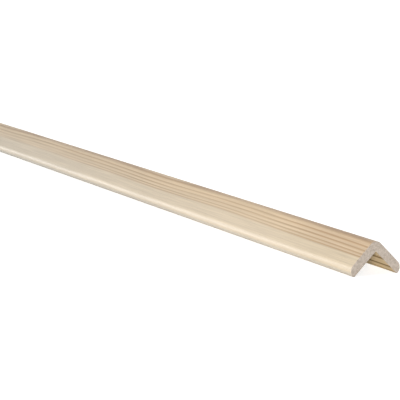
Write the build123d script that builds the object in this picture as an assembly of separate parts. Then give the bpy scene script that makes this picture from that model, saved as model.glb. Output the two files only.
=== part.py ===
from build123d import *

import os
from math import cos, radians, sin, tan

# Pine corner moulding: one straight length of planed softwood with an L section.
# It lies as it rests on a level floor, on its two leg tips with the rounded corner up.
# X runs along the length, Y across it and Z up. The origin is on the floor, below the
# rounded corner, half way along. Lengths are in millimetres and angles in degrees.

# Driving dimensions
LENGTH = 2400.0  # one stock length, sawn square at both ends
LEG_WIDTH = 28.0  # along an outer face, from where the two outer faces would meet to the leg's tip
LEG_THICKNESS = 6.0  # square to an outer face
CORNER_ANGLE = 90.0  # between the two outer faces
CORNER_RADIUS = 5.0  # rounded corner between the two outer faces
ARRIS_RADIUS = 0.8  # eased edge between a leg's tip and its inner face

RIGHT_ANGLE = 90.0
HALF_TURN = 180.0

# The round over a leg's tip takes up the thickness that the eased edge leaves,
# so the two arcs meet at the tip on a common tangent.
tip_radius = LEG_THICKNESS - ARRIS_RADIUS

# The eased edges touch the floor, and the outer faces would meet in a sharp corner this far above it.
half_angle = CORNER_ANGLE / 2
edge_centre_along = LEG_WIDTH - ARRIS_RADIUS
edge_centre_inward = LEG_THICKNESS - ARRIS_RADIUS
edge_centre_drop = edge_centre_along * cos(radians(half_angle)) + edge_centre_inward * sin(radians(half_angle))
sharp_corner_height = edge_centre_drop + ARRIS_RADIUS


def leg_outline():
    """One leg's edge: from the middle of the rounded corner, round the tip, to the inner corner.

    The leg lies along X with its outer face on Y = 0 and the sharp corner at the origin.
    """
    away_from_corner = 1 / tan(radians(half_angle))
    corner_centre = (CORNER_RADIUS * away_from_corner, CORNER_RADIUS)
    inner_corner = (LEG_THICKNESS * away_from_corner, LEG_THICKNESS)

    rounded_corner = CenterArc(corner_centre, CORNER_RADIUS, HALF_TURN + half_angle, RIGHT_ANGLE - half_angle)
    outer_face = Line(rounded_corner @ 1, (LEG_WIDTH - tip_radius, 0))
    tip_round = JernArc(outer_face @ 1, outer_face % 1, tip_radius, RIGHT_ANGLE)
    eased_edge = JernArc(tip_round @ 1, tip_round % 1, ARRIS_RADIUS, RIGHT_ANGLE)
    inner_face = Line(eased_edge @ 1, inner_corner)
    return Curve() + [rounded_corner, outer_face, tip_round, eased_edge, inner_face]


def l_section():
    """Both legs, with the rounded corner up and the two eased edges on the X axis."""
    leg = leg_outline()
    other_leg = mirror(leg, about=Plane.XZ.rotated((0, 0, half_angle)))
    section = make_face(leg.edges() + other_leg.edges())
    corner_up = Pos(0, sharp_corner_height) * Rot(0, 0, -RIGHT_ANGLE - half_angle)
    return corner_up * section


def corner_moulding():
    """The section carried along X, as far each way from the origin."""
    return extrude(Plane.YZ * l_section(), amount=LENGTH / 2, both=True)


os.makedirs("parts", exist_ok=True)
moulding = corner_moulding()
moulding.label = "corner_moulding"
export_step(moulding, "parts/corner_moulding.step")

size = moulding.bounding_box().size
print(f"corner_moulding {size.X:.2f} x {size.Y:.2f} x {size.Z:.2f} mm")
print(f"section {moulding.volume / LENGTH:.2f} mm2, volume {moulding.volume:.0f} mm3")
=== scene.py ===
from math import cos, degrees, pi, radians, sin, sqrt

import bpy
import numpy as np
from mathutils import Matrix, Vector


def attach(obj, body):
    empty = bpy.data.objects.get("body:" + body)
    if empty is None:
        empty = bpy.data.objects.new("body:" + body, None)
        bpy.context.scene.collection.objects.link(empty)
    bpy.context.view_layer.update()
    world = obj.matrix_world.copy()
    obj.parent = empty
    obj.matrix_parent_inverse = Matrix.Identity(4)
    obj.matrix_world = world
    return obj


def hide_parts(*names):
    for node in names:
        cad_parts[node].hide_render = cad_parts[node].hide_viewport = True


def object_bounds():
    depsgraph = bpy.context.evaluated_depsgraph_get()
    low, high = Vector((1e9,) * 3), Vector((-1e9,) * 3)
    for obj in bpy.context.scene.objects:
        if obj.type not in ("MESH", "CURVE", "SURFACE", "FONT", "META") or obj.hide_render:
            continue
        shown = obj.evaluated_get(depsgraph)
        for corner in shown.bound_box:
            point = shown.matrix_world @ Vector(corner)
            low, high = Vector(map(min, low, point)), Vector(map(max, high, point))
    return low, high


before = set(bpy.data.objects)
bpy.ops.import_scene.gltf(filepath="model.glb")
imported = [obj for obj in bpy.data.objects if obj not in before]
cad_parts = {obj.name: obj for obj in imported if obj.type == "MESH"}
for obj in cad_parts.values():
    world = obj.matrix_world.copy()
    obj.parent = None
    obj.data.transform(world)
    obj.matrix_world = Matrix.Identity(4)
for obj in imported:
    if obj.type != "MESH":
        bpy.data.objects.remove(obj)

# %% [markdown]
# # A length of pine corner moulding
#
# The lines above load the part as it was built, at its real size, as a frame that stays fixed.
# This lesson dresses it. It makes the moulding again as a fine, smooth mesh, lets a pine with
# growth rings run through the solid wood, and sets up a plain studio round it.
#
# Lengths are in metres, or in millimetres where the wood is drawn. X runs along the moulding,
# Z is up, and the floor is at Z = 0.

MILLIMETRES = 1000  # to a metre

cad_low, cad_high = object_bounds()
length = cad_high.x - cad_low.x
half_length = length / 2
near_end = cad_high.x
print(f"the frame holds {sorted(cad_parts)}, {length:.3f} m long")

# %% [markdown]
# ## The camera
#
# The picture looks along the moulding from beyond its near end, a little to one side and a
# little above. A camera could be moved by hand until the picture fits. Here it is worked out
# instead: two angles turn it, and one point whose place in the picture is known sets where it
# stands. That point is where the two outer faces of the near end would meet in a sharp corner.

# %% The section's sizes, which the camera and the mesh both need
LEG_WIDTH = 0.028
LEG_THICKNESS = 0.006
CORNER_RADIUS = 0.005
ARRIS_RADIUS = 0.0008  # the eased edge between a leg's tip and its inner face

eased_edge_reach = LEG_WIDTH + LEG_THICKNESS - 2 * ARRIS_RADIUS
sharp_corner_height = eased_edge_reach / sqrt(2) + ARRIS_RADIUS
print(f"the outer faces would meet {sharp_corner_height * MILLIMETRES:.2f} mm above the floor")

# %% The camera at the picture's place
PICTURE_WIDTH = 400.0  # pixels, and as high
FOCAL_LENGTH = 1932.0  # pixels
LOOKS_DOWN = radians(8.941)
LOOKS_ALONG = radians(25.22)  # between the line of sight and the moulding's length
CORNER_PIXEL = (376.11, 238.06)
CORNER_DEPTH = 1.2095  # from the camera, along its line of sight
SENSOR_WIDTH = 36.0  # millimetres

camera_data = bpy.data.cameras.new("camera")
camera_data.sensor_width = SENSOR_WIDTH
camera_data.lens = FOCAL_LENGTH / PICTURE_WIDTH * SENSOR_WIDTH
camera = bpy.data.objects.new("camera", camera_data)
bpy.context.scene.collection.objects.link(camera)
bpy.context.scene.camera = camera

camera.rotation_euler = (pi / 2 - LOOKS_DOWN, 0, pi / 2 - LOOKS_ALONG)
right_of_middle = CORNER_PIXEL[0] - PICTURE_WIDTH / 2
below_middle = CORNER_PIXEL[1] - PICTURE_WIDTH / 2
corner_seen = Vector((right_of_middle, -below_middle, -FOCAL_LENGTH)) * CORNER_DEPTH / FOCAL_LENGTH
sharp_corner = Vector((near_end, 0, sharp_corner_height))
camera.location = sharp_corner - camera.rotation_euler.to_matrix() @ corner_seen
print(f"the camera stands at {[round(v, 3) for v in camera.location]}, lens {camera_data.lens:.0f} mm")

# %% [markdown]
# ## The moulding
#
# A planing machine makes this moulding by pushing a square batten past shaped cutters, so its
# section is the same all along. That is a rule, and Geometry Nodes can follow it: an L with
# sharp corners is drawn, each corner is rounded by its own radius, and the outline is swept
# along a straight line. Changing one named input changes the whole piece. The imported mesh
# shows its rounds as a few flats, which is enough for collisions, but not for a close look.

# %% A tree with named inputs
END_EASE = 0.00012
SIZE_INPUTS = {
    "Length": length,
    "Leg Width": LEG_WIDTH,
    "Leg Thickness": LEG_THICKNESS,
    "Corner Radius": CORNER_RADIUS,
    "Arris Radius": ARRIS_RADIUS,
    "Sharp Corner Height": sharp_corner_height,
    "End Ease": END_EASE,
}
STEP_INPUTS = {"Arc Steps": 18, "Length Steps": 61}
FINISH_INPUTS = ("Planed Face", "Sawn End", "Back Face")

sweep = bpy.data.node_groups.new("moulding_sweep", "GeometryNodeTree")
sweep.interface.new_socket("Geometry", in_out="OUTPUT", socket_type="NodeSocketGeometry")
for names, kind in ((SIZE_INPUTS, "Float"), (STEP_INPUTS, "Int"), (FINISH_INPUTS, "Material")):
    for name in names:
        sweep.interface.new_socket(name, in_out="INPUT", socket_type=f"NodeSocket{kind}")
print("the tree has the inputs", ", ".join([*SIZE_INPUTS, *STEP_INPUTS, *FINISH_INPUTS]))

# %% Helpers that add nodes
def fill(tree, node, inputs):
    """Gives each of a node's inputs a value or another node's output."""
    for key, value in inputs.items():
        if isinstance(value, bpy.types.NodeSocket):
            tree.links.new(value, node.inputs[key])
        else:
            node.inputs[key].default_value = value


def add(tree, kind, inputs=None, **settings):
    """Adds a node with its settings and fills its inputs."""
    node = tree.nodes.new(kind)
    for name, value in settings.items():
        setattr(node, name, value)
    fill(tree, node, inputs or {})
    return node


def result(tree, kind, inputs=None, **settings):
    """Adds a node and returns its first output."""
    return add(tree, kind, inputs, **settings).outputs[0]


sizes = add(sweep, "NodeGroupInput").outputs
print(f"the tree starts with {len(sweep.nodes)} node, which hands out the inputs")

# %% [markdown]
# ### The outline
#
# Six points make the L. An Index Switch gives each point its place, and a second one gives
# each corner its radius, which Fillet Curve then rounds. The inner corner stays sharp. Where two
# rounds meet they leave a double point, so the outline is merged before it is used.

# %% The L with sharp corners
def join(tree, **parts):
    """A vector from some of X, Y and Z. The others are zero."""
    return result(tree, "ShaderNodeCombineXYZ", parts)


def pick_by_index(tree, data_type, choices):
    """A value for each point, by the point's number."""
    node = add(tree, "GeometryNodeIndexSwitch", data_type=data_type)
    while len(node.index_switch_items) < len(choices):
        node.index_switch_items.new()
    fill(tree, node, {"Index": result(tree, "GeometryNodeInputIndex")})
    fill(tree, node, {str(number): choice for number, choice in enumerate(choices)})
    return node.outputs[0]


def sharp_outline(tree, sizes):
    """The section as a closed curve with sharp corners, its legs along X and Y."""
    width, thickness = sizes["Leg Width"], sizes["Leg Thickness"]
    points = [(0, 0), (width, 0), (width, thickness), (thickness, thickness), (thickness, width), (0, width)]
    places = pick_by_index(tree, "VECTOR", [join(tree, X=x, Y=y) for x, y in points])
    line = result(tree, "GeometryNodeMeshLine", {"Count": len(points)})
    bent = result(tree, "GeometryNodeSetPosition", {"Geometry": line, "Position": places})
    opened = result(tree, "GeometryNodeMeshToCurve", {"Mesh": bent})
    return result(tree, "GeometryNodeSetSplineCyclic", {"Geometry": opened, "Cyclic": True})


sharp_l = sharp_outline(sweep, sizes)
print(f"{len(sweep.nodes)} nodes so far draw the L with sharp corners")

# %% The rounded L
SAME_POINT = 1e-6
SHARP = 0.0
CORNER_UP = radians(-135)  # turns the L onto its leg tips


def calc(tree, operation, *values):
    """One step of arithmetic on numbers or on nodes' outputs."""
    return result(tree, "ShaderNodeMath", dict(enumerate(values)), operation=operation)


def rounded_outline(tree, outline, sizes):
    """The outline with its corners rounded, turned corner up, with its eased edges on the X axis."""
    corner, arris = sizes["Corner Radius"], sizes["Arris Radius"]
    tip = calc(tree, "SUBTRACT", sizes["Leg Thickness"], arris)
    rounds = pick_by_index(tree, "FLOAT", [corner, tip, arris, SHARP, arris, tip])
    rounded = result(tree, "GeometryNodeFilletCurve", {
        "Curve": outline, "Radius": rounds, "Count": sizes["Arc Steps"], "Limit Radius": True}, mode="POLY")
    loop = result(tree, "GeometryNodeCurveToMesh", {"Curve": rounded})
    merged = result(tree, "GeometryNodeMergeByDistance", {"Geometry": loop, "Distance": SAME_POINT})
    smooth = result(tree, "GeometryNodeMeshToCurve", {"Mesh": merged})
    return result(tree, "GeometryNodeTransform", {
        "Geometry": smooth, "Translation": join(tree, Y=sizes["Sharp Corner Height"]),
        "Rotation": (0, 0, CORNER_UP)})


outline = rounded_outline(sweep, sharp_l, sizes)
print(f"{len(sweep.nodes)} nodes so far round it, with {STEP_INPUTS['Arc Steps']} steps to a corner")

# %% [markdown]
# ### The sweep
#
# The line runs up the Z axis, where the outline's own X and Y stay as they are, and the
# finished piece is laid down along X at the end. A saw leaves its edges crisp, but a light
# touch of sandpaper takes the sharpness off, so the outline draws in a little at both ends.
# For that, each point of the outline remembers which way is outwards.

# %% The line to sweep along
def split(tree, vector):
    """A vector's X, Y and Z, by name."""
    return add(tree, "ShaderNodeSeparateXYZ", {"Vector": vector}).outputs


def end_points(tree, count):
    """The first and last few points of a curve."""
    return result(tree, "GeometryNodeCurveEndpointSelection", {"Start Size": count, "End Size": count})


def sweep_line(tree, sizes):
    """A line as long as the moulding, with the points next to its ends moved close to them."""
    half = calc(tree, "DIVIDE", sizes["Length"], 2)
    start = join(tree, Z=calc(tree, "MULTIPLY", half, -1))
    line = result(tree, "GeometryNodeCurvePrimitiveLine", {"Start": start, "End": join(tree, Z=half)})
    stepped = result(tree, "GeometryNodeResampleCurve", {"Curve": line, "Count": sizes["Length Steps"]})

    height = split(tree, result(tree, "GeometryNodeInputPosition"))["Z"]
    short_of_end = calc(tree, "SUBTRACT", half, sizes["End Ease"])
    place = join(tree, Z=calc(tree, "MULTIPLY", calc(tree, "SIGN", height), short_of_end))
    next_to_ends = result(tree, "FunctionNodeBooleanMath", {
        0: end_points(tree, 2), 1: end_points(tree, 1)}, operation="NIMPLY")
    return result(tree, "GeometryNodeSetPosition", {
        "Geometry": stepped, "Selection": next_to_ends, "Position": place})


line = sweep_line(sweep, sizes)
print(f"{STEP_INPUTS['Length Steps']} points stand along the line")

# %% The outline swept along the line
ALONG_THE_LINE = (0, 0, 1)


def vector_calc(tree, operation, *values):
    """One step of arithmetic on vectors."""
    return result(tree, "ShaderNodeVectorMath", dict(enumerate(values)), operation=operation)


def capture(tree, geometry, data_type, name, value):
    """Keeps a value on each point, so that later nodes can read it. Returns geometry and value."""
    node = add(tree, "GeometryNodeCaptureAttribute", {"Geometry": geometry})
    node.capture_items.new(data_type, name)
    fill(tree, node, {name: value})
    return node.outputs["Geometry"], node.outputs[name]


def eased_sweep(tree, outline, line, ease):
    """Sweeps the outline along the line and draws it in a little at both ends."""
    away = vector_calc(tree, "CROSS_PRODUCT", result(tree, "GeometryNodeInputTangent"), ALONG_THE_LINE)
    outline, outwards = capture(tree, outline, "VECTOR", "Outwards", away)
    line, at_ends = capture(tree, line, "BOOLEAN", "At Ends", end_points(tree, 1))
    swept = result(tree, "GeometryNodeCurveToMesh", {
        "Curve": line, "Profile Curve": outline, "Fill Caps": True})
    inwards = result(tree, "ShaderNodeVectorMath", {
        "Vector": outwards, "Scale": calc(tree, "MULTIPLY", ease, -1)}, operation="SCALE")
    eased = result(tree, "GeometryNodeSetPosition", {
        "Geometry": swept, "Selection": at_ends, "Offset": inwards})
    return result(tree, "GeometryNodeMergeByDistance", {"Geometry": eased, "Distance": SAME_POINT})


swept = eased_sweep(sweep, outline, line, sizes["End Ease"])
print(f"{len(sweep.nodes)} nodes so far sweep it, drawn in by {END_EASE * MILLIMETRES:.2f} mm at its ends")

# %% [markdown]
# ### Smooth rounds and three finishes
#
# The rounds are made of small flats, which smooth shading hides, but the inner corner and the
# edges of the ends have to stay crisp. The outside was planed, the ends were sawn, and the inside
# of the L was left coarser. The faces for each finish could be picked by hand. The way a face
# turns tells the same, and it still does when a size is changed.

# %% Smooth rounds with crisp edges, laid down
SHARP_ANGLE = radians(40)
ALONG_X = (pi / 2, 0, pi / 2)  # turns the piece from the Z axis onto the X axis


def laid_down(tree, mesh):
    """Shades the rounds smooth, keeps the sharp edges crisp and turns the piece to lie along X."""
    smooth = result(tree, "GeometryNodeSetShadeSmooth", {"Geometry": mesh})
    angle = add(tree, "GeometryNodeInputMeshEdgeAngle").outputs["Unsigned Angle"]
    crisp = calc(tree, "GREATER_THAN", angle, SHARP_ANGLE)
    creased = result(tree, "GeometryNodeSetShadeSmooth", {
        "Geometry": smooth, "Selection": crisp, "Shade Smooth": False}, domain="EDGE")
    return result(tree, "GeometryNodeTransform", {"Geometry": creased, "Rotation": ALONG_X})


lying = laid_down(sweep, swept)
print(f"edges that turn by more than {degrees(SHARP_ANGLE):.0f} degrees stay crisp")

# %% Which faces take which finish
ENDS_FACE_ALONG = 0.5  # a face that turns more than this share along the length is part of an end
BACKS_FACE_IN = -0.65  # one that turns more than this share towards the middle is inside the L


def set_finish(tree, mesh, finish, where=True):
    """Gives a finish to the faces that are picked."""
    return result(tree, "GeometryNodeSetMaterial", {
        "Geometry": mesh, "Selection": where, "Material": finish})


def finished(tree, mesh, sizes):
    """Gives all faces the planed finish, then the ends the sawn one and the inside of the L its own."""
    whole = result(tree, "GeometryNodeRealizeInstances", {"Geometry": mesh})
    normal = split(tree, result(tree, "GeometryNodeInputNormal"))
    side = calc(tree, "SIGN", split(tree, result(tree, "GeometryNodeInputPosition"))["Y"])
    at_ends = calc(tree, "GREATER_THAN", calc(tree, "ABSOLUTE", normal["X"]), ENDS_FACE_ALONG)
    inside = calc(tree, "LESS_THAN", calc(tree, "MULTIPLY", normal["Y"], side), BACKS_FACE_IN)
    planed = set_finish(tree, whole, sizes["Planed Face"])
    sawn = set_finish(tree, planed, sizes["Sawn End"], at_ends)
    return set_finish(tree, sawn, sizes["Back Face"], inside)


add(sweep, "NodeGroupOutput", {"Geometry": finished(sweep, lying, sizes)})
print(f"the whole tree has {len(sweep.nodes)} nodes and {len(FINISH_INPUTS)} finishes")

# %% [markdown]
# ## The wood
#
# Softwood grows a pale layer each spring and a thin dark layer each summer. A plank cuts
# through these rings, so the lines on a face and the arcs on an end are one and the same
# figure. A texture stuck onto the faces could not do that. Here the rings are worked out in
# space, from the distance to the pith, the middle of the trunk, and every face shows its own
# cut through them.
#
# The near leg's outer face touches the rings near its tip and runs plain there, and it cuts
# across them towards the corner, where the lines show.

# %% Where the trunk was, in millimetres
PITH_ALONG_FACE = 25.8  # from the sharp corner, along the near outer face
PITH_BEHIND_FACE = 35.0
# Slow waves along the length: how far the pith moves, how long the wave is, and where it crests.
WAVES_ALONG_FACE = ((1.16, 379.0, -60.0), (0.23, 185.0, 120.0))
WAVES_BEHIND_FACE = ((0.3, 411.0, 101.0),)
# And how far it drifts with each millimetre of length.
DRIFT_ALONG_FACE = 1.23e-3
DRIFT_BEHIND_FACE = -0.97e-3

slope = sqrt(0.5)  # both legs slope at 45 degrees
pith_y = (PITH_BEHIND_FACE - PITH_ALONG_FACE) * slope
pith_z = sharp_corner_height * MILLIMETRES - (PITH_BEHIND_FACE + PITH_ALONG_FACE) * slope
print(f"the pith lies at y {pith_y:.1f}, z {pith_z:.1f} mm at the near end, before its waves")

# %% A group for the figure, and the place in it
figure = bpy.data.node_groups.new("pine_figure", "ShaderNodeTree")


def millimetres(tree):
    """The place on the moulding, in millimetres."""
    seen = add(tree, "ShaderNodeTexCoord").outputs["Object"]
    return vector_calc(tree, "MULTIPLY", seen, (MILLIMETRES,) * 3)


spot = millimetres(figure)
away = calc(figure, "SUBTRACT", near_end * MILLIMETRES, split(figure, spot)["X"])
print(f"{len(figure.nodes)} nodes find the place and how far it is away from the near end")

# %% How the pith wavers along the trunk
WANDER, WANDER_GRAIN = 0.3, (120, 25, 25)


def noise(tree, place, grain, detail=2.0, roughness=0.5):
    """Smooth noise from 0 to 1, with grains of the given size along X, Y and Z."""
    scaled = vector_calc(tree, "DIVIDE", place, grain)
    return add(tree, "ShaderNodeTexNoise", {
        "Vector": scaled, "Scale": 1.0, "Detail": detail, "Roughness": roughness}).outputs["Fac"]


def waver(tree, away, waves, drift):
    """How far the pith has moved at a distance from the near end: a drift and some slow waves."""
    moved = calc(tree, "MULTIPLY", away, drift)
    for height, wave_length, crest in waves:
        turn = calc(tree, "MULTIPLY", calc(tree, "SUBTRACT", away, crest), 2 * pi / wave_length)
        moved = calc(tree, "MULTIPLY_ADD", calc(tree, "COSINE", turn), height, moved)
    return moved


about_zero = calc(figure, "SUBTRACT", noise(figure, spot, WANDER_GRAIN), 0.5)
along_face = waver(figure, away, WAVES_ALONG_FACE, DRIFT_ALONG_FACE)
along_face = calc(figure, "MULTIPLY_ADD", about_zero, WANDER, along_face)
behind_face = waver(figure, away, WAVES_BEHIND_FACE, DRIFT_BEHIND_FACE)
print(f"its waves move the pith by up to {sum(wave[0] for wave in WAVES_ALONG_FACE):.2f} mm along the face")

# %% The distance from the pith
def ring_radius(tree, spot, along_face, behind_face):
    """How far a spot lies from the pith, which has moved along the near face and behind it."""
    place = split(tree, spot)
    across = calc(tree, "SUBTRACT", place["Y"], pith_y)
    moved_across = calc(tree, "SUBTRACT", along_face, behind_face)
    across = calc(tree, "MULTIPLY_ADD", moved_across, slope, across)
    up = calc(tree, "SUBTRACT", place["Z"], pith_z)
    moved_up = calc(tree, "ADD", along_face, behind_face)
    up = calc(tree, "MULTIPLY_ADD", moved_up, slope, up)
    squares = calc(tree, "MULTIPLY_ADD", up, up, calc(tree, "MULTIPLY", across, across))
    return calc(tree, "SQRT", squares)


radius = ring_radius(figure, spot, along_face, behind_face)
print(f"{len(figure.nodes)} nodes so far give the distance from the pith")

# %% [markdown]
# ### The rings
#
# A year's summer wood comes on slowly and ends at once, when winter comes. No two years are
# alike, so evenly spaced rings would look like print. Here every ring has its own radius,
# thickness and darkness, all drawn by one Float Curve. Along the trunk the rings grow weaker and
# stronger again, which a second value follows.

# %% The summer wood of each year
RINGS = (  # how far from the pith each summer's wood lies, how thick it is and how dark
    (19.2, 0.9, 0.7),
    (22.1, 1.0, 0.5),
    (24.7, 1.6, 0.8),
    (30.1, 2.4, 0.8),
    (31.6, 0.7, 0.5),
    (34.3, 0.5, 0.10),
    (36.58, 0.45, 1.0),
    (37.26, 0.55, 0.95),
    (38.31, 0.7, 1.0),
    (39.65, 0.85, 1.0),
    (41.5, 1.25, 0.95),
    (43.8, 0.9, 0.8),
)
RING_SHAPE = ((-0.7, 0), (-0.1, 1), (0.1, 1), (0.3, 0))  # shares of the thickness and the darkness
PLAIN_MARGIN = 2  # plain wood inside the first ring and outside the last


def summer_wood(tree, radius):
    """How much of the dark summer wood lies at a radius."""
    first, last = RINGS[0][0] - PLAIN_MARGIN, RINGS[-1][0] + PLAIN_MARGIN
    share = result(tree, "ShaderNodeMapRange", {"Value": radius, "From Min": first, "From Max": last})
    node = add(tree, "ShaderNodeFloatCurve", {"Value": share})
    curve = node.mapping.curves[0]
    curve.points[-1].location = (1, 0)
    for middle, thickness, darkness in RINGS:
        for offset, height in RING_SHAPE:
            place = (middle + offset * thickness - first) / (last - first)
            curve.points.new(place, height * darkness)
    for point in curve.points:
        point.handle_type = "VECTOR"
    node.mapping.update()
    return node.outputs[0]


full_rings = summer_wood(figure, radius)
print(f"{len(RINGS)} rings lie between {RINGS[0][0]} and {RINGS[-1][0]} mm from the pith")

# %% How strong the rings are along the trunk
VIGOUR_GRAIN = (130, 4, 4)
VIGOUR_NOISE, LEAST_VIGOUR = (0.3, 0.7), 0.8  # a noise varies each ring a little
WEAKENING, STRENGTHENING = (50.0, 150.0), (250.0, 340.0)  # millimetres from the near end
WEAKEST, STRONG_AGAIN = 0.62, 0.88
STEADIER_RINGS, STEADIER_SHARE = (40.2, 40.8), 0.2  # the outermost rings weaken less
FADING_RINGS = (37.0, 39.5)  # the inner of these rings fade
FADING_ALONG = (300.0, 600.0)  # and over this stretch from the near end
FADED_SHARE = 0.7


def ramp(tree, value, low, high, to_low=0.0, to_high=1.0):
    """A smooth step between two values."""
    return result(tree, "ShaderNodeMapRange", {
        "Value": value, "From Min": low, "From Max": high, "To Min": to_low, "To Max": to_high},
        interpolation_type="SMOOTHSTEP")


def ring_vigour(tree, spot, away, radius):
    """How strong a ring is at a spot."""
    vigour = ramp(tree, noise(tree, spot, VIGOUR_GRAIN), *VIGOUR_NOISE, LEAST_VIGOUR, 1.0)
    regained = ramp(tree, away, *STRENGTHENING, 0.0, STRONG_AGAIN - WEAKEST)
    lost = calc(tree, "SUBTRACT", ramp(tree, away, *WEAKENING, 0.0, 1 - WEAKEST), regained)
    lost = calc(tree, "MULTIPLY", lost, ramp(tree, radius, *STEADIER_RINGS, 1.0, STEADIER_SHARE))
    vigour = calc(tree, "MULTIPLY", vigour, calc(tree, "SUBTRACT", 1.0, lost))
    fading = calc(tree, "MULTIPLY", ramp(tree, radius, *FADING_RINGS, 1.0, 0.0), vigour)
    fading = calc(tree, "MULTIPLY", fading, ramp(tree, away, *FADING_ALONG))
    return calc(tree, "MULTIPLY_ADD", fading, -FADED_SHARE, vigour)


summer = calc(figure, "MULTIPLY", full_rings, ring_vigour(figure, spot, away, radius))
print(f"the rings are weakest, at {WEAKEST:.0%}, from {WEAKENING[1]:.0f} to {STRENGTHENING[0]:.0f} mm")

# %% [markdown]
# ### Colour and fibres
#
# Wood is never one colour. Outside a certain ring this pine is warmer, at its near end it is
# redder, and its tone swings slowly along the length. Fine streaks show the fibres, a wider
# mottle breaks them up, and short dark flecks are resin. The figure gives each of these as a
# number, and leaves it to the finishes to say what colour it makes.

# %% Warmth, redness and tone
WARM_FROM, WARM_TO, WARMEST = 36.25, 36.75, 40.0  # millimetres from the pith
WARM_STEP = 0.65  # the share of the warmth that comes on at once
RED_UNTIL, RED_GONE = 20.0, 130.0  # millimetres from the near end
TONE_LENGTH = 1500.0

first_warmth = ramp(figure, radius, WARM_FROM, WARM_TO, 0.0, WARM_STEP)
later_warmth = ramp(figure, radius, WARM_TO, WARMEST, 0.0, 1 - WARM_STEP)
warmth = calc(figure, "ADD", first_warmth, later_warmth)
redness = ramp(figure, away, RED_UNTIL, RED_GONE, 1.0, 0.0)
tone = calc(figure, "COSINE", calc(figure, "MULTIPLY", away, 2 * pi / TONE_LENGTH))
print(f"the wood warms beyond {WARM_FROM} mm from the pith and is red up to {RED_GONE:.0f} mm along")

# %% Fibres, mottle and resin
STREAK_GRAIN = (45, 0.7, 0.7)
MOTTLE_GRAIN = (80, 2.2, 2.2)
RESIN_GRAIN = (9, 0.9, 0.9)
RESIN_CORE, RESIN_EDGE = 0.06, 0.2  # shares of a resin grain

streaks = noise(figure, spot, STREAK_GRAIN, detail=4.0, roughness=0.6)
mottle = noise(figure, spot, MOTTLE_GRAIN, detail=3.0)
cells = add(figure, "ShaderNodeTexVoronoi", {
    "Vector": vector_calc(figure, "DIVIDE", spot, RESIN_GRAIN), "Scale": 1.0})
resin = ramp(figure, cells.outputs["Distance"], RESIN_CORE, RESIN_EDGE, 1.0, 0.0)

figure_values = {
    "Summer Wood": summer, "Warmth": warmth, "Redness": redness, "Tone": tone,
    "Streaks": streaks, "Mottle": mottle, "Resin": resin}
for name in figure_values:
    figure.interface.new_socket(name, in_out="OUTPUT", socket_type="NodeSocketFloat")
add(figure, "NodeGroupOutput", figure_values)
print(f"the figure takes {len(figure.nodes)} nodes and gives", ", ".join(figure_values))

# %% [markdown]
# ## The planed faces
#
# On the real moulding these are the faces that the cutters left: smooth, pale, and with a dull
# sheen. Their colours could be painted by hand, but each would then have to follow the rings by
# eye. Here the figure mixes them in, so colour, sheen and relief belong to the same ring. Summer
# wood is the harder, so it takes a better polish and stands up a little.

# %% Mixing and shading colours
NOISE_RANGE = (0.25, 0.75)  # most of a noise lies between these
MIX_SHARE, MIX_FIRST, MIX_SECOND, MIX_RESULT = 0, 6, 7, 2  # a Mix node's sockets for colours


def mix(tree, share, first, second, blend_type="MIX"):
    """Mixes two colours."""
    return add(tree, "ShaderNodeMix", {MIX_SHARE: share, MIX_FIRST: first, MIX_SECOND: second},
               data_type="RGBA", blend_type=blend_type).outputs[MIX_RESULT]


def shaded(tree, colour, value, darkest, lightest):
    """Darkens and lightens a colour by a noise."""
    return vector_calc(tree, "MULTIPLY", colour, ramp(tree, value, *NOISE_RANGE, darkest, lightest))


print(f"a noise darkens most at {NOISE_RANGE[0]} and lightens most at {NOISE_RANGE[1]}")

# %% The colours of planed pine
PALE_WOOD = (0.635, 0.53, 0.388, 1)
WARM_WOOD = (0.66, 0.51, 0.335, 1)
RED_PALE_WOOD = (0.59, 0.49, 0.35, 1)
RED_WARM_WOOD = (0.565, 0.422, 0.274, 1)
SUMMER_WOOD, SUMMER_SHARE = (0.38, 0.235, 0.12, 1), 0.95
RESIN_COLOUR, RESIN_SHARE = (0.40, 0.25, 0.13, 1), 0.3
WARM_TONE = (1.01, 1.0, 0.985, 1)
COOL_TONE = (0.915, 0.945, 1.0, 1)
UNDERSIDE_SHADE_GREY = (0.40, 0.44, 0.45, 1)  # painted shade: the lower edges of the tips are greyed, where they face the floor
SHADED_BELOW, UNSHADED_ABOVE = 2.0, 3.4  # millimetres above the floor
UNDERSIDE_SHADE_SHARE = 0.3


def planed_colour(tree, grain):
    """The colour of a planed face."""
    colour = mix(tree, grain["Warmth"], PALE_WOOD, WARM_WOOD)
    red_colour = mix(tree, grain["Warmth"], RED_PALE_WOOD, RED_WARM_WOOD)
    colour = mix(tree, grain["Redness"], colour, red_colour)
    colour = mix(tree, calc(tree, "MULTIPLY", grain["Summer Wood"], SUMMER_SHARE), colour, SUMMER_WOOD)
    colour = mix(tree, calc(tree, "MULTIPLY", grain["Resin"], RESIN_SHARE), colour, RESIN_COLOUR)
    # Painted shade: the lowest few millimetres of the tips are mixed towards grey.
    height = split(tree, millimetres(tree))["Z"]
    colour = mix(tree, ramp(tree, height, SHADED_BELOW, UNSHADED_ABOVE, UNDERSIDE_SHADE_SHARE, 0.0), colour, UNDERSIDE_SHADE_GREY)
    warm_share = calc(tree, "MULTIPLY_ADD", grain["Tone"], 0.5, 0.5)
    colour = mix(tree, 1.0, colour, mix(tree, warm_share, COOL_TONE, WARM_TONE), "MULTIPLY")
    colour = shaded(tree, colour, grain["Streaks"], darkest=0.9, lightest=1.09)
    return shaded(tree, colour, grain["Mottle"], darkest=0.96, lightest=1.04)


print(f"summer wood gives back {SUMMER_WOOD[0] / PALE_WOOD[0]:.0%} of the red light that pale wood does")

# %% Planed pine
SPRING_ROUGHNESS, SUMMER_POLISH = 0.47, 0.06
FIBRE_RELIEF = 0.4  # beside the summer wood's


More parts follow.
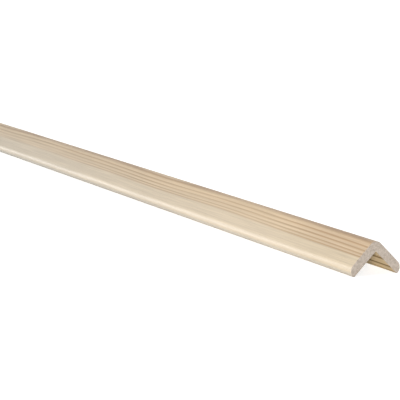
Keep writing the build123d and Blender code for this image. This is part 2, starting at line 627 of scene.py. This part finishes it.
def new_material(name):
    """An empty material with its Principled shader, ready for nodes."""
    material = bpy.data.materials.new(name)
    material.use_nodes = True
    tree = material.node_tree
    shader = next(node for node in tree.nodes if node.type == "BSDF_PRINCIPLED")
    return material, tree, shader


def raised(tree, height, strength, depth):
    """A bump that stands up by a depth in metres."""
    return result(tree, "ShaderNodeBump", {"Height": height, "Strength": strength, "Distance": depth})


def planed_pine():
    """Pine as the cutters leave it: a dull sheen, raised summer wood and fine fibres."""
    material, tree, shader = new_material("planed_pine")
    grain = add(tree, "ShaderNodeGroup", node_tree=figure).outputs
    relief = calc(tree, "MULTIPLY_ADD", grain["Streaks"], FIBRE_RELIEF, grain["Summer Wood"])
    fill(tree, shader, {
        "Base Color": planed_colour(tree, grain),
        "Roughness": calc(tree, "MULTIPLY_ADD", grain["Summer Wood"], -SUMMER_POLISH, SPRING_ROUGHNESS),
        "Normal": raised(tree, relief, strength=0.4, depth=0.00004)})
    return material


planed_finish = planed_pine()
print(f"{planed_finish.name} takes {len(planed_finish.node_tree.nodes)} nodes")

# %% [markdown]
# ## The sawn ends
#
# A saw cuts across the fibres and leaves their open ends, which swallow light, so the ends are
# greyer and duller than the faces. The same figure runs on through them, and its rings show as
# arcs. The tufts of cut fibres and the marks of the saw's strokes are far too fine to model, so
# one is a change of colour and the other a bump.

# %% Sawn pine
END_GRAIN = (0.355, 0.303, 0.2545, 1)
END_SUMMER, END_SUMMER_SHARE = (0.255, 0.20, 0.15, 1), 0.4
FLECKS = (0.9, 0.9, 0.9)  # the cut ends of the fibres, in tufts
SAW_MARKS = (10, 14, 0.3)  # a saw stroke's marks are long one way and fine the other
SAWN_ROUGHNESS = 0.85


def sawn_pine():
    """The end grain: greyer, duller and rougher, with the same rings as arcs and the saw's marks."""
    material, tree, shader = new_material("sawn_pine")
    grain = add(tree, "ShaderNodeGroup", node_tree=figure).outputs
    place = millimetres(tree)
    summer_share = calc(tree, "MULTIPLY", grain["Summer Wood"], END_SUMMER_SHARE)
    colour = mix(tree, summer_share, END_GRAIN, END_SUMMER)
    colour = shaded(tree, colour, grain["Streaks"], darkest=0.84, lightest=1.14)
    colour = shaded(tree, colour, grain["Mottle"], darkest=0.88, lightest=1.1)
    colour = shaded(tree, colour, noise(tree, place, FLECKS), darkest=0.9, lightest=1.1)
    fill(tree, shader, {
        "Base Color": colour,
        "Roughness": SAWN_ROUGHNESS,
        "Normal": raised(tree, noise(tree, place, SAW_MARKS), strength=0.5, depth=0.00005)})
    return material


sawn_finish = sawn_pine()
print(f"{sawn_finish.name} takes {len(sawn_finish.node_tree.nodes)} nodes")

# %% [markdown]
# ## The faces inside the L
#
# No one sees these once the moulding is fixed, so they are cut more coarsely and stay golden,
# with darker rings. Towards the corner, where little light reaches, they are darkened with painted
# shade. A ramp over the height paints it.

# %% The inside
BACK_WOOD = (0.80, 0.62, 0.375, 1)
BACK_SUMMER, BACK_SUMMER_SHARE = (0.25, 0.155, 0.06, 1), 1.5  # over one, so these rings are broader
# Painted shade in the inner corner: between these heights the inside darkens, down to the share below.
CORNER_UNSHADED_BELOW, CORNER_SHADED_ABOVE = 12.5, 14.0  # millimetres above the floor
CORNER_SHADE_LEVEL = 0.8
BACK_ROUGHNESS, BACK_SHINE = 0.8, 0.1


def back_pine():
    """The faces inside the L: coarser, golden, and darkened with painted shade towards the corner."""
    material, tree, shader = new_material("back_pine")
    grain = add(tree, "ShaderNodeGroup", node_tree=figure).outputs
    summer_share = calc(tree, "MULTIPLY", grain["Summer Wood"], BACK_SUMMER_SHARE)
    colour = mix(tree, summer_share, BACK_WOOD, BACK_SUMMER)
    colour = shaded(tree, colour, grain["Streaks"], darkest=0.88, lightest=1.08)
    colour = shaded(tree, colour, grain["Mottle"], darkest=0.93, lightest=1.06)
    height = split(tree, millimetres(tree))["Z"]
    # painted shade, darker towards the inner corner
    corner_shade = ramp(tree, height, CORNER_UNSHADED_BELOW, CORNER_SHADED_ABOVE, 1.0, CORNER_SHADE_LEVEL)
    relief = calc(tree, "ADD", grain["Streaks"], grain["Summer Wood"])
    fill(tree, shader, {
        "Base Color": vector_calc(tree, "MULTIPLY", colour, corner_shade),
        "Roughness": BACK_ROUGHNESS,
        "Specular IOR Level": BACK_SHINE,
        "Normal": raised(tree, relief, strength=0.5, depth=0.00006)})
    return material


back_finish = back_pine()
print(f"{back_finish.name} takes {len(back_finish.node_tree.nodes)} nodes")

# %% [markdown]
# ## The piece
#
# A modifier could stay on the object and be worked out at each render. The frame asks for plain
# meshes, whose faces and materials are settled, so the tree runs once on an empty object and the
# result is kept as that object's own mesh.

# %% The moulding as a plain mesh
def swept_piece(name, tree, values):
    """Runs a tree on an empty object and keeps the result as that object's plain mesh."""
    piece = bpy.data.objects.new(name, bpy.data.meshes.new(name))
    bpy.context.scene.collection.objects.link(piece)
    modifier = piece.modifiers.new("sweep", "NODES")
    modifier.node_group = tree
    for item in tree.interface.items_tree:
        if item.in_out == "INPUT":
            modifier[item.identifier] = values[item.name]
    evaluated = piece.evaluated_get(bpy.context.evaluated_depsgraph_get())
    mesh = bpy.data.meshes.new_from_object(evaluated)
    piece.modifiers.remove(modifier)
    piece.data = mesh
    mesh.name = name
    return piece


finishes = dict(zip(FINISH_INPUTS, (planed_finish, sawn_finish, back_finish)))
moulding = swept_piece("pine_moulding", sweep, {**SIZE_INPUTS, **STEP_INPUTS, **finishes})
print(f"the moulding has {len(moulding.data.polygons)} faces and the finishes",
      ", ".join(material.name for material in moulding.data.materials))

# %% [markdown]
# ### A flat layout for baked pictures
#
# A model that leaves Blender carries its finish as pictures, and for those the surface has to be
# laid out flat. Blender can unwrap it by itself, but then the moulding is one strip, 2.4 m by
# 0.1 m: a square picture is sharp across the grain, blurred along it, and has hardly any room for
# the two ends. Here the strip is cut into two halves, one above the other, and the two ends stand
# side by side on top, at a larger scale.
#
# The place round the girth is measured along a ring of points. Seen from the middle of the corner,
# where the two legs cross, the outline never turns back, so the points can be put in order by
# their angle. The angle starts at the inner corner, so the layout's long seam is hidden there.

# %% Places round the girth
NEARLY_DOWN = pi - 1e-4


def places_round(mesh):
    """How far round the outline each point lies, from the inner corner, and the whole girth."""
    points = np.array([point.co for point in mesh.vertices])
    legs_cross = sharp_corner_height - LEG_THICKNESS / sqrt(2)
    angles = np.arctan2(points[:, 1], points[:, 2] - legs_cross)
    angles = np.where(angles > NEARLY_DOWN, angles - 2 * pi, angles)
    ring = np.flatnonzero(np.abs(points[:, 0]) < SAME_POINT)
    ring = ring[np.argsort(angles[ring])]
    steps = np.linalg.norm(points[np.roll(ring, -1)] - points[ring], axis=1)
    return np.interp(angles, angles[ring], np.cumsum(steps) - steps), steps.sum()


around, girth = places_round(moulding.data)
print(f"the girth is {girth * MILLIMETRES:.1f} mm")

# %% Rows and ends in the picture
LAYOUT_GAP = 0.006  # left free round each part, so that no colour comes in from another
ENDS_FROM = 0.87  # the share of the picture's height that lies below the ends
END_PLACES = {1: 0.25, -1: 0.75}  # the middles of the near and the far end, across the picture
END_SCALE = 5.4  # picture heights to a metre

row_step = ENDS_FROM / 2
row_height = row_step - 2 * LAYOUT_GAP
row_width = 1 - 2 * LAYOUT_GAP


def end_place(point, side):
    """Where a point of an end lies in the picture. Side 1 is the near end, and -1 the far one."""
    across = END_PLACES[side] + side * point.y * END_SCALE
    return across, ENDS_FROM + LAYOUT_GAP + point.z * END_SCALE


def side_place(point, turn, row):
    """Where a point of the long faces lies. A turn is a share of the girth, and a row half the length."""
    along = point.x / half_length + 1 - row
    return LAYOUT_GAP + along * row_width, LAYOUT_GAP + row * row_step + turn * row_height


print(f"a metre of length is {row_width / half_length:.2f} of the picture's width,",
      f"and a metre of girth {row_height / girth:.2f} of its height")

# %% The layout
LAYOUT_NAME = "OFBake"
HALF_ROUND = 0.5


def lay_out(mesh):
    """Adds the flat layout to a mesh as a UV map."""
    layer = mesh.uv_layers.new(name=LAYOUT_NAME)
    for face in mesh.polygons:
        points = [mesh.vertices[number] for number in face.vertices]
        if abs(face.normal.x) > ENDS_FACE_ALONG:
            side = 1 if face.normal.x > 0 else -1
            places = [end_place(point.co, side) for point in points]
        else:
            row = int(face.center.x > 0)
            turns = [around[point.index] / girth for point in points]
            if max(turns) - min(turns) > HALF_ROUND:  # the face that closes the ring
                turns = [turn + (turn < HALF_ROUND) for turn in turns]
            places = [side_place(point.co, turn, row) for point, turn in zip(points, turns)]
        for corner, place in zip(face.loop_indices, places):
            layer.uv[corner].vector = place


lay_out(moulding.data)
print(f"the layout {LAYOUT_NAME} has {len(moulding.data.uv_layers[LAYOUT_NAME].uv)} corners")

# %% [markdown]
# ### The piece's place in the frame
#
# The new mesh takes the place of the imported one. It is told which body carries it, which packed
# piece it stands for, and which kind of finish it wears.

# %% In the frame
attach(moulding, "root")
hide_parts("corner_moulding")
print(f"{moulding.name} stands for corner_moulding")

# %% [markdown]
# ## The studio
#
# The moulding lies on a plain pale floor, and the picture's ground is white. More light on the
# floor would also wash out the wood, so the floor and the world add their white only to rays that
# come from the camera, from a reflection or through glass. The light that falls on the wood stays
# at a plain level. Close to the moulding the floor adds a little less white, so that the faint
# shadow there can be seen.

# %% A floor finish that shows white
FLOOR_COLOUR = (0.6, 0.6, 0.6, 1)
SHADOW_GLOW = 0.8  # how much white the floor adds close to the moulding, where its shadow falls
SHADOW_REACH, WHITE_BEYOND = 0.03, 0.3  # from the moulding, in metres
WHITE = (1, 1, 1, 1)


def seen_directly(tree):
    """One for rays from the camera, from a reflection or through glass, zero for the others."""
    path = add(tree, "ShaderNodeLightPath").outputs
    seen = calc(tree, "MAXIMUM", path["Is Camera Ray"], path["Is Glossy Ray"])
    return calc(tree, "MAXIMUM", seen, path["Is Transmission Ray"])


def pale_floor():
    """A matt pale floor that shows white."""
    material, tree, shader = new_material("pale_floor")
    place = split(tree, add(tree, "ShaderNodeTexCoord").outputs["Object"])
    beside = calc(tree, "ABSOLUTE", place["Y"])
    beyond = calc(tree, "SUBTRACT", calc(tree, "ABSOLUTE", place["X"]), half_length)
    distance = calc(tree, "MAXIMUM", beside, beyond)
    glow = ramp(tree, distance, SHADOW_REACH, WHITE_BEYOND, SHADOW_GLOW, 1.0)
    fill(tree, shader, {
        "Base Color": FLOOR_COLOUR,
        "Roughness": 1.0,
        "Specular IOR Level": 0.0,
        "Emission Color": WHITE,
        "Emission Strength": calc(tree, "MULTIPLY", seen_directly(tree), glow)})
    return material


floor_finish = pale_floor()
print(f"{floor_finish.name} adds {SHADOW_GLOW:.0%} of its white near the moulding,",
      f"and all of it {WHITE_BEYOND} m away")

# %% The floor
FLOOR_SIZE = 30.0

half_floor = FLOOR_SIZE / 2
floor_corners = [(x * half_floor, y * half_floor, 0) for x, y in ((-1, -1), (1, -1), (1, 1), (-1, 1))]
floor_mesh = bpy.data.meshes.new("floor")
floor_mesh.from_pydata(floor_corners, [], [(0, 1, 2, 3)])
floor_mesh.materials.append(floor_finish)
floor = bpy.data.objects.new("floor", floor_mesh)
bpy.context.scene.collection.objects.link(floor)
print(f"the floor is {FLOOR_SIZE:.0f} m square")

# %% [markdown]
# ### The lamps
#
# A bare bulb would give hard shadows and a hot spot on each round. Soft boxes, which are large
# bright rectangles, give soft shadows and long, even streaks of light instead. The key lamp
# stands near the camera and lights the near end and the near leg. Two edge lamps skim along the
# near leg from its far end and draw the bright streak on its round tip. One lamp lights the top,
# and one the side that is turned away.

# %% Soft boxes
NEAR_PART = Vector((0.85, 0, 0.01))
MIDDLE = Vector((0.2, 0, 0.01))


def soft_lamp(name, target, bearing, height, distance, size, power):
    """A soft box that looks at a target. Bearing 0 is beyond the near end, 90 faces the near leg."""
    data = bpy.data.lights.new(name, "AREA")
    data.shape = "RECTANGLE"
    data.size, data.size_y = size
    data.energy = power
    box = bpy.data.objects.new(name, data)
    bpy.context.scene.collection.objects.link(box)
    turn, lift = radians(bearing), radians(height)
    away = Vector((cos(turn) * cos(lift), -sin(turn) * cos(lift), sin(lift)))
    box.location = target + away * distance
    box.rotation_euler = (-away).to_track_quat("-Z", "Y").to_euler()
    box.visible_camera = False
    return box


lamps = [
    soft_lamp("key_lamp", NEAR_PART, bearing=28, height=4, distance=2.3, size=(1.0, 0.35), power=58.5),
    soft_lamp("edge_lamp", NEAR_PART, bearing=136, height=3, distance=5.0, size=(4.2, 0.57), power=110),
    soft_lamp("high_edge_lamp", NEAR_PART, bearing=145, height=12, distance=2.3, size=(1.4, 0.5), power=4),
    soft_lamp("top_lamp", NEAR_PART, bearing=90, height=80, distance=2.3, size=(2.0, 1.0), power=11),
    soft_lamp("back_lamp", MIDDLE, bearing=270, height=25, distance=2.3, size=(3.0, 0.8), power=42),
]
print("lamps:", [(box.name, box.data.energy) for box in lamps])

# %% [markdown]
# ### The world
#
# The world could be a picture of a room, but a plain one is enough. It shows white, as the floor
# does, and lights the wood only faintly, which fills in the deepest shadows.

# %% A white world with a faint light
WORLD_LIGHT = 0.15

world = bpy.data.worlds.new("world")
bpy.context.scene.world = world
world.use_nodes = True
background = world.node_tree.nodes["Background"]
level = result(world.node_tree, "ShaderNodeMapRange", {
    "Value": seen_directly(world.node_tree), "To Min": WORLD_LIGHT, "To Max": 1.0})
fill(world.node_tree, background, {"Color": WHITE, "Strength": level})
bpy.context.scene.view_settings.view_transform = "Standard"
print(f"the world lights the wood at {WORLD_LIGHT} and shows white")

# %% [markdown]
# ## The sizes
#
# The dressed moulding has to fill the same box as the one that was built, which is printed here.
# The finer rounds can reach a little further than the built mesh's flats.

# %% The built moulding's box
print("cad box", [round(v, 5) for v in (*cad_low, *cad_high)])
